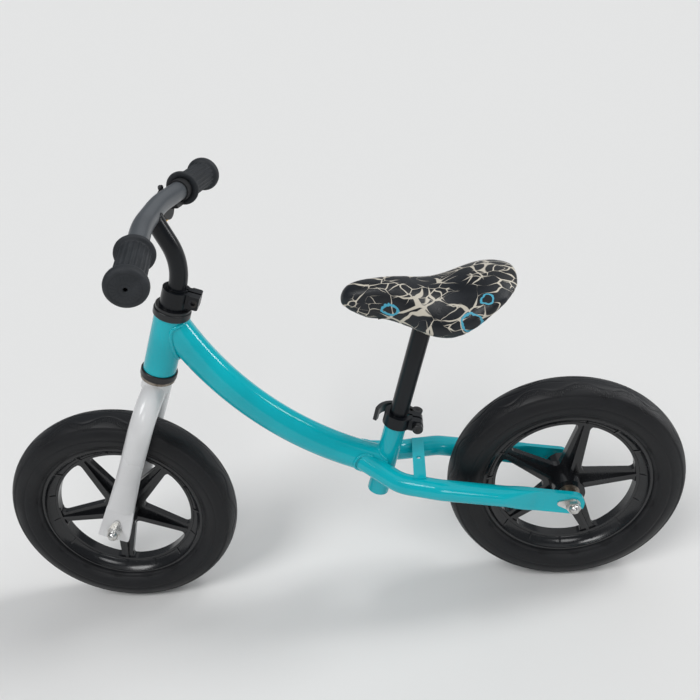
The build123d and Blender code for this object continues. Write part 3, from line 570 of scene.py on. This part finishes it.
def spinProfile(bm, steps):
    geometry = bm.verts[:] + bm.edges[:]
    bmesh.ops.spin(
        bm, geom=geometry, cent=(0, 0, 0), axis=(0, 0, 1), angle=2 * math.pi, steps=steps, use_merge=True
    )
    bmesh.ops.remove_doubles(bm, verts=bm.verts, dist=1e-6)


def axisPlace(point, direction):
    # local Z goes along direction
    return Matrix.Translation(point) @ direction.to_track_quat("Z", "Y").to_matrix().to_4x4()


# foam tyres: beaded edge, ring lines on the wall, a shoulder step and two wavy grooves
tyreShape = {
    "wall": (
        (0.1040, 0.0168), (0.1052, 0.0180), (0.1068, 0.0188), (0.1076, 0.0186), (0.1083, 0.0193),
        (0.1120, 0.0222), (0.1160, 0.0238), (0.1200, 0.0244), (0.1222, 0.0245), (0.1228, 0.0240),
        (0.1236, 0.0240), (0.1242, 0.0243), (0.1280, 0.0236), (0.1320, 0.0223), (0.1352, 0.0208),
        (0.1362, 0.0200), (0.1370, 0.0199), (0.1382, 0.0196), (0.1390, 0.0188),
    ),
    "crown": 0.146,
    "shoulder": 0.0188,
    "crownDrop": 0.0070,
    "treadRows": 44,
    "steps": 400,
    "grooveDepth": 0.0011,
    "grooveHalf": 0.0011,
    "middleDepth": 0.0007,
    "middleSwing": 0.0022,
}


def tyreProfile(values):
    rows = values["treadRows"]
    bend = (values["shoulder"] ** 2 + values["crownDrop"] ** 2) / (2 * values["crownDrop"])
    tread = []
    for i in range(1, rows):
        across = values["shoulder"] * (1 - 2 * i / rows)
        tread.append((values["crown"] - bend + math.sqrt(bend ** 2 - across ** 2), across))
    far = [(out, -along) for out, along in reversed(values["wall"])]
    return [*values["wall"], *tread, *far, values["wall"][0]]


def grooveDepth(angle, across, values, tread):
    line = tread["offset"] + tread["swing"] * math.sin(tread["waves"] * angle)
    gap = abs(abs(across) - line) / values["grooveHalf"]
    depth = values["grooveDepth"] * max(0.0, 1 - gap ** 2)
    middle = values["middleSwing"] * math.cos(tread["waves"] * angle)
    gap = abs(across - middle) / values["grooveHalf"]
    return max(depth, values["middleDepth"] * max(0.0, 1 - gap ** 2))


def buildTyre(end, centre):
    bm = bmesh.new()
    drawProfile(bm, tyreProfile(tyreShape))
    spinProfile(bm, tyreShape["steps"])
    wrap = bm.loops.layers.uv.new("wrap")
    turn = 2 * math.pi
    for face in bm.faces:
        middle = face.calc_center_median()
        start = math.atan2(middle.y, middle.x)
        for loop in face.loops:
            angle = math.atan2(loop.vert.co.y, loop.vert.co.x)
            angle += turn * round((start - angle) / turn)
            loop[wrap].uv = (angle / turn, loop.vert.co.z)
    for vert in bm.verts:
        out = math.hypot(vert.co.x, vert.co.y)
        if out > tyreShape["crown"] - tyreShape["crownDrop"]:
            depth = grooveDepth(math.atan2(vert.co.y, vert.co.x), vert.co.z, tyreShape, treadPattern)
            vert.co.x *= 1 - depth / out
            vert.co.y *= 1 - depth / out
    bmesh.ops.transform(bm, matrix=axisPlace(centre, Vector((0, 1, 0))), verts=bm.verts)
    piece = finishPiece(bm, end + "FoamTyre", "tyreFoam", end + "_wheel")
    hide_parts(end + "_tyre")


buildTyre("front", bikeLines["frontAxle"])
buildTyre("rear", bikeLines["rearAxle"])
print("tyres moulded")

# shallow dish on both faces of each rim, between its lip and the tyre band
dishShape = {
    "profile": (
        (0.0901, 0.0030), (0.0901, 0.0057), (0.0915, 0.0062), (0.0935, 0.0071), (0.0955, 0.0084),
        (0.0975, 0.0101), (0.0992, 0.0121), (0.1003, 0.0141), (0.1008, 0.0150), (0.1008, 0.0030),
    ),
    "steps": 160,
}


def buildDish(end, centre, face, outwards):
    bm = bmesh.new()
    drawProfile(bm, dishShape["profile"] + dishShape["profile"][:1])
    spinProfile(bm, dishShape["steps"])
    bmesh.ops.transform(bm, matrix=axisPlace(centre, outwards), verts=bm.verts)
    finishPiece(bm, end + face + "Dish", "rimPlastic", end + "_wheel")


for end, centre in (("front", bikeLines["frontAxle"]), ("rear", bikeLines["rearAxle"])):
    buildDish(end, centre, "Left", Vector((0, 1, 0)))
    buildDish(end, centre, "Right", Vector((0, -1, 0)))
print("rims dished")

# rubber grips: flange, ribbed waist and a domed end with a dimpled ring
gripShape = {
    "profile": (
        (0.0113, -0.0710), (0.0190, -0.0710), (0.0200, -0.0704), (0.0204, -0.0692), (0.0203, -0.0678),
        (0.0197, -0.0666), (0.0186, -0.0658), (0.0170, -0.0652), (0.0160, -0.0644), (0.0155, -0.0630),
        (0.0152, -0.0610), (0.0151, -0.0530), (0.0150, -0.0440), (0.0150, -0.0350), (0.0150, -0.0260),
        (0.0151, -0.0160), (0.0152, -0.0130), (0.0156, -0.0112), (0.0164, -0.0098), (0.0178, -0.0086),
        (0.0194, -0.0074), (0.0204, -0.0058), (0.0208, -0.0038), (0.0208, -0.0018), (0.0204, 0.0002),
        (0.0196, 0.0018), (0.0182, 0.0029), (0.0164, 0.0036), (0.0158, 0.0036), (0.0150, 0.0031),
        (0.0142, 0.0036), (0.0120, 0.0043), (0.0096, 0.0047), (0.0072, 0.0049), (0.0066, 0.0048),
        (0.0060, 0.0044), (0.0052, 0.0048), (0.0036, 0.0049), (0.0024, 0.0047), (0.0020, 0.0040),
        (0.0019, 0.0010), (0.0113, 0.0010),
    ),
    "ribs": 20,
    "ribHeight": 0.0011,
    "ribFrom": -0.0640,
    "ribTo": -0.0110,
    "ribLeast": 0.0145,
    "ribPower": 0.6,
    "endFrom": 0.003,
    "dimples": 22,
    "dimpleRadius": 0.0112,
    "dimpleReach": 0.0022,
    "dimpleDepth": 0.0007,
    "steps": 240,
}


def buildGrip(side, tip, outwards, values):
    bm = bmesh.new()
    drawProfile(bm, values["profile"] + values["profile"][:1])
    spinProfile(bm, values["steps"])
    for vert in bm.verts:
        out = math.hypot(vert.co.x, vert.co.y)
        angle = math.atan2(vert.co.y, vert.co.x)
        if values["ribFrom"] < vert.co.z < values["ribTo"] and out > values["ribLeast"]:
            crest = max(0.0, math.cos(values["ribs"] * angle)) ** values["ribPower"]
            lift = values["ribHeight"] * crest
            vert.co.x *= 1 + lift / out
            vert.co.y *= 1 + lift / out
        if vert.co.z > values["endFrom"]:
            near = max(0.0, 1 - abs(out - values["dimpleRadius"]) / values["dimpleReach"])
            vert.co.z -= values["dimpleDepth"] * near * max(0.0, math.cos(values["dimples"] * angle))
    bmesh.ops.transform(bm, matrix=axisPlace(tip, outwards), verts=bm.verts)
    piece = finishPiece(bm, side + "RubberGrip", "gripRubber", "handlebar")
    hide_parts(side + "_grip")


mirrored = Vector((1, -1, 1))
buildGrip("left", bikeLines["barTip"], bikeLines["barOut"], gripShape)
buildGrip("right", bikeLines["barTip"] * mirrored, bikeLines["barOut"] * mirrored, gripShape)
print("grips moulded")

# saddle: the cushion starts a little small, swells as stuffed cover over its pan and is then smoothed
saddleShape = {
    "shrink": 0.0003, "voxel": 0.0045, "pressure": 4.0, "frames": 20, "cap": 0.0060,
    "clothQuality": 6, "clothMass": 0.3,
    "evenTurns": 3, "evenFactor": 0.5, "lastTurns": 4, "lastFactor": 0.4,
}


def smoothVerts(bm, turns, factor):
    for turn in range(turns):
        bmesh.ops.smooth_vert(
            bm, verts=bm.verts, factor=factor, use_axis_x=True, use_axis_y=True, use_axis_z=True
        )


def swellCushion(piece, values):
    rest = [vert.co.copy() for vert in piece.data.vertices]
    cloth = piece.modifiers.new("swell", "CLOTH")
    cloth.settings.quality = values["clothQuality"]
    cloth.settings.mass = values["clothMass"]
    cloth.settings.use_pressure = True
    cloth.settings.uniform_pressure_force = values["pressure"]
    cloth.settings.effector_weights.gravity = 0
    cloth.collision_settings.use_self_collision = False
    cloth.point_cache.frame_start = 1
    cloth.point_cache.frame_end = values["frames"]
    for step in range(1, values["frames"] + 1):
        bpy.context.scene.frame_set(step)
    swollen = piece.evaluated_get(bpy.context.evaluated_depsgraph_get()).to_mesh()
    moved = [vert.co.copy() for vert in swollen.vertices]
    piece.modifiers.remove(cloth)
    bpy.context.scene.frame_set(1)
    for vert, start, end in zip(piece.data.vertices, rest, moved):
        push = end - start
        if push.length > values["cap"]:
            push *= values["cap"] / push.length
        vert.co = start + push


def buildSaddle():
    bm = bmesh.new()
    bm.from_mesh(cadNodes["seat_pad"].data)
    bmesh.ops.remove_doubles(bm, verts=bm.verts, dist=1e-5)
    bmesh.ops.recalc_face_normals(bm, faces=bm.faces)
    mesh = bpy.data.meshes.new("saddleCushion")
    bm.to_mesh(mesh)
    bm.free()
    piece = bpy.data.objects.new("saddleCushion", mesh)
    bpy.context.scene.collection.objects.link(piece)
    remesh = piece.modifiers.new("evenCells", "REMESH")
    remesh.mode = "VOXEL"
    remesh.voxel_size = saddleShape["voxel"]
    even = bpy.data.meshes.new_from_object(piece.evaluated_get(bpy.context.evaluated_depsgraph_get()))
    piece.modifiers.clear()
    piece.data = even
    even.name = "saddleCushion"
    bm = bmesh.new()
    bm.from_mesh(even)
    smoothVerts(bm, saddleShape["evenTurns"], saddleShape["evenFactor"])
    bm.normal_update()
    for vert in bm.verts:
        vert.co -= vert.normal * saddleShape["shrink"]
    bm.to_mesh(even)
    bm.free()
    swellCushion(piece, saddleShape)
    bm = bmesh.new()
    bm.from_mesh(piece.data)
    smoothVerts(bm, saddleShape["lastTurns"], saddleShape["lastFactor"])
    for face in bm.faces:
        face.smooth = True
    bm.to_mesh(piece.data)
    bm.free()
    piece.data.materials.clear()
    piece.data.materials.append(finishes["saddleCover"])
    softer = piece.modifiers.new("softer", "SUBSURF")
    softer.levels = 1
    softer.render_levels = 1
    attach(piece, "seat")
    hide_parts("seat_pad")


buildSaddle()
print("saddle padded")

# stay ends: the round tube is pressed flat in one smooth run, in metres from the rear axle
stayEndShape = {
    "out": 0.044, "rise": math.radians(11.4), "rings": 22, "points": 72,
    "start": 0.088, "roundTo": 0.084, "flatFrom": 0.044, "stop": 0.034,
    "tube": 0.01272, "depth": 0.0036, "height": 0.0149, "corner": 10, "fade": 0.0005,
}


def buildStayEnd(name, side, values):
    bm = bmesh.new()
    forward = Vector((math.cos(values["rise"]), 0, math.sin(values["rise"])))
    upward = Vector((-forward.z, 0, forward.x))
    middle = bikeLines["rearAxle"] + Vector((0, values["out"] * side, 0))
    last = None
    for i in range(values["rings"] + 1):
        along = values["start"] + (values["stop"] - values["start"]) * i / values["rings"]
        flat = (values["roundTo"] - along) / (values["roundTo"] - values["flatFrom"])
        flat = min(max(flat, 0.0), 1.0)
        past = max(0.0, values["flatFrom"] - along)
        sink = values["fade"] * past / (values["flatFrom"] - values["stop"])
        depth = values["tube"] + (values["depth"] - values["tube"]) * flat - sink
        height = values["tube"] + (values["height"] - values["tube"]) * flat - sink
        power = 2 / (2 + (values["corner"] - 2) * flat ** 2)
        ring = []
        for j in range(values["points"]):
            angle = 2 * math.pi * j / values["points"]
            across, plumb = math.cos(angle), math.sin(angle)
            across = depth * math.copysign(abs(across) ** power, across)
            plumb = height * math.copysign(abs(plumb) ** power, plumb)
            spot = middle + forward * along + Vector((0, across, 0)) + upward * plumb
            ring.append(bm.verts.new(spot))
        if last:
            for j in range(values["points"]):
                bm.faces.new((last[j - 1], last[j], ring[j], ring[j - 1]))
        last = ring
    finishPiece(bm, name, "framePaint", "frame")


buildStayEnd("leftStayEnd", 1, stayEndShape)
buildStayEnd("rightStayEnd", -1, stayEndShape)
print("stay ends pressed")

# weld beads where the tubes meet: rippled rings that follow both tubes
beadShape = {"ripple": 0.10, "points": 160, "ripplePoints": 4}


def tubeHit(start, direction, post, postUp, postRadius):
    offset = start - post
    side = direction - postUp * direction.dot(postUp)
    apart = offset - postUp * offset.dot(postUp)
    inside = side.dot(apart) ** 2 - side.dot(side) * (apart.dot(apart) - postRadius ** 2)
    return start + direction * ((-side.dot(apart) - math.sqrt(max(inside, 0.0))) / side.dot(side))


def beadPoints(tube, post, behind):
    # tube and post: a point, a direction and a radius; the tube runs into the post
    start, direction, radius = tube
    first = direction.orthogonal().normalized()
    second = direction.cross(first)
    count = beadShape["points"]
    points = []
    for i in range(count):
        angle = 2 * math.pi * i / count
        rim = start + (first * math.cos(angle) + second * math.sin(angle)) * radius
        points.append(tubeHit(rim, direction, *post))
    if behind is None:
        return points
    # only the stretch that lies on both tubes, from its one end to the other
    outside = next(i for i in range(count) if points[i].x < behind)
    turned = points[outside:] + points[:outside]
    return [point for point in turned if point.x >= behind]


def buildBead(name, size, tube, post, material, body, slot, behind=None):
    points = beadPoints(tube, post, behind)
    curve = bpy.data.curves.new(name, "CURVE")
    curve.dimensions = "3D"
    curve.bevel_depth = size
    curve.bevel_resolution = 3
    curve.use_fill_caps = behind is not None
    line = curve.splines.new("POLY")
    line.points.add(len(points) - 1)
    line.use_cyclic_u = behind is None
    for i, point in enumerate(line.points):
        point.co = (*points[i], 1)
        point.radius = 1 + beadShape["ripple"] * math.sin(2 * math.pi * i / beadShape["ripplePoints"])
    holder = bpy.data.objects.new(name + "Line", curve)
    bpy.context.scene.collection.objects.link(holder)
    bpy.context.view_layer.update()
    mesh = bpy.data.meshes.new_from_object(holder.evaluated_get(bpy.context.evaluated_depsgraph_get()))
    bpy.data.objects.remove(holder)
    bm = bmesh.new()
    bm.from_mesh(mesh)
    bpy.data.meshes.remove(mesh)
    finishPiece(bm, name, material, body)


# where each tube meets its post, the way it runs in, the radii and the bead sizes, in metres
weldShape = {
    "headMeet": Vector((0.16524, 0, 0.41326)),
    "headIn": Vector((0.36882, 0, 0.9295)),
    "seatMeet": Vector((-0.06263, 0, 0.19196)),
    "mainAtSeat": Vector((0.9399, 0, 0.34144)),
    "stayMeet": Vector((-0.03486, 0.009, 0.20329)),
    "stayIn": Vector((0.81513, -0.43337, 0.38439)),
    "mainAtStay": Vector((0.9106, 0, 0.4131)),
    "mainRadius": 0.0185, "headRadius": 0.0195, "seatRadius": 0.01338,
    "stayRadius": 0.0127, "barRadius": 0.0111, "stemRadius": 0.0104,
    "headBead": 0.0022, "seatBead": 0.0020, "stayBead": 0.0020, "stemBead": 0.0011,
    "lead": 0.08, "stemLead": 0.04, "seatBehind": -0.066, "stayBehind": -0.050,
}


def layWelds(values):
    painted = ("framePaint", "frame", "frame_paint")
    steerLine = (bikeLines["steerPoint"], bikeLines["steerUp"], values["headRadius"])
    headIn, lead = values["headIn"], values["lead"]
    main = (values["headMeet"] - headIn * lead, headIn, values["mainRadius"])
    buildBead("headWeld", values["headBead"], main, steerLine, *painted)
    seatDown = -bikeLines["seatUp"]
    seatTube = (values["seatMeet"] - seatDown * lead, seatDown, values["seatRadius"])
    mainLine = (values["seatMeet"], values["mainAtSeat"], values["mainRadius"])
    buildBead("seatWeld", values["seatBead"], seatTube, mainLine, *painted, behind=values["seatBehind"])
    stayFoot = values["stayMeet"] - values["stayIn"] * lead
    stayLine = (values["stayMeet"] * Vector((1, 0, 1)), values["mainAtStay"], values["mainRadius"])
    for name, side in (("leftStayWeld", Vector((1, 1, 1))), ("rightStayWeld", mirrored)):
        stay = (stayFoot * side, values["stayIn"] * side, values["stayRadius"])
        buildBead(name, values["stayBead"], stay, stayLine, *painted, behind=values["stayBehind"])
    stemUp = bikeLines["stemUp"]
    stem = (bikeLines["barMiddle"] - stemUp * values["stemLead"], stemUp, values["stemRadius"])
    barLine = (bikeLines["barMiddle"], Vector((0, 1, 0)), values["barRadius"])
    buildBead("stemWeld", values["stemBead"], stem, barLine, "blackPaint", "handlebar", "black_paint")


layWelds(weldShape)
print("welds laid")
